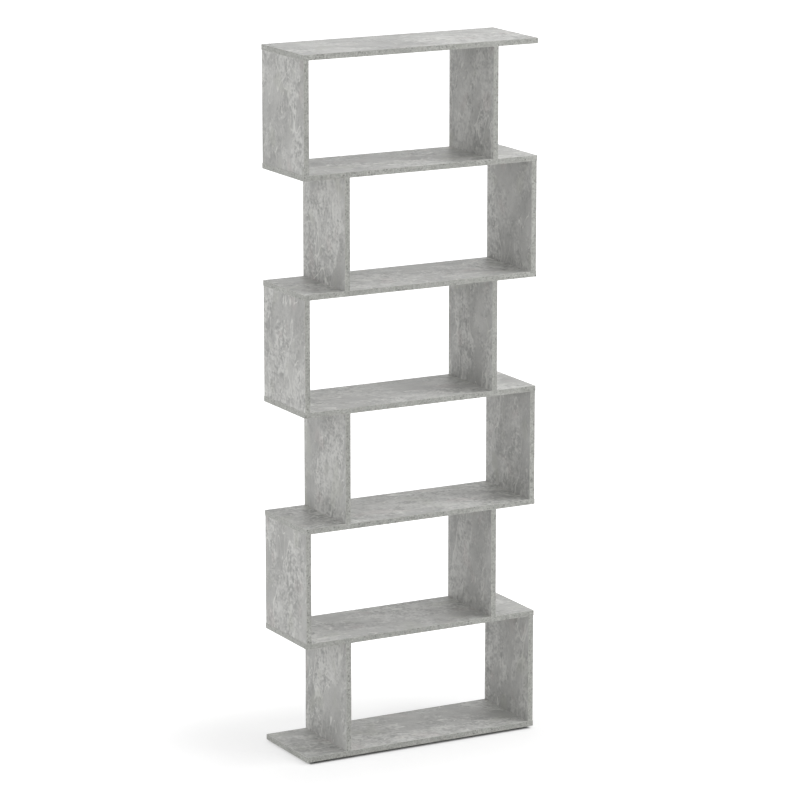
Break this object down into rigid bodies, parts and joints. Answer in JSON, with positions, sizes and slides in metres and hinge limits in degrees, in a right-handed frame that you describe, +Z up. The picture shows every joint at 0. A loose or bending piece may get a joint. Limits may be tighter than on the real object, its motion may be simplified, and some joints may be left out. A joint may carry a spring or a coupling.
{
  "type": "zigzag bookshelf",
  "caption": "Tall narrow open bookshelf of level boards on short uprights that step from side to side, in a concrete-look finish; knock-down joints, low glides.",
  "frame": {"origin": "on the floor under the middle of the base board", "axes": "+Z up, +X along the boards to the right as seen from the front, the front faces -Y"},
  "size_m": [0.7, 0.24, 1.91],
  "materials": {
    "concrete_panel": "melamine-faced chipboard with a matt concrete decor",
    "concrete_edging": "glued plastic edging with the same decor",
    "cap_plastic": "moulded, matt",
    "cam_zinc": "die cast",
    "bolt_steel": "zinc plated",
    "dowel_beech": "bare beech",
    "glide_plastic": "moulded, matt black",
    "nail_steel": "bright"
  },
  "bodies": {
    "root": {"base_board": "concrete_panel", "shelf_board_1": "concrete_panel", "shelf_board_2": "concrete_panel", "shelf_board_3": "concrete_panel", "shelf_board_4": "concrete_panel", "shelf_board_5": "concrete_panel", "top_board": "concrete_panel", "left_upright_1": "concrete_panel", "right_upright_1": "concrete_panel", "left_upright_2": "concrete_panel", "right_upright_2": "concrete_panel", "left_upright_3": "concrete_panel", "right_upright_3": "concrete_panel", "left_upright_4": "concrete_panel", "right_upright_4": "concrete_panel", "left_upright_5": "concrete_panel", "right_upright_5": "concrete_panel", "left_upright_6": "concrete_panel", "right_upright_6": "concrete_panel", "base_board_edging": "concrete_edging", "shelf_board_1_edging": "concrete_edging", "shelf_board_2_edging": "concrete_edging", "shelf_board_3_edging": "concrete_edging", "shelf_board_4_edging": "concrete_edging", "shelf_board_5_edging": "concrete_edging", "top_board_edging": "concrete_edging", "left_upright_1_edging": "concrete_edging", "right_upright_1_edging": "concrete_edging", "left_upright_2_edging": "concrete_edging", "right_upright_2_edging": "concrete_edging", "left_upright_3_edging": "concrete_edging", "right_upright_3_edging": "concrete_edging", "left_upright_4_edging": "concrete_edging", "right_upright_4_edging": "concrete_edging", "left_upright_5_edging": "concrete_edging", "right_upright_5_edging": "concrete_edging", "left_upright_6_edging": "concrete_edging", "right_upright_6_edging": "concrete_edging", "cam_locks": "cam_zinc", "cam_bolts": "bolt_steel", "cam_caps": "cap_plastic", "dowels": "dowel_beech", "floor_glides": "glide_plastic", "glide_nails": "nail_steel"}
  },
  "joints": []
}
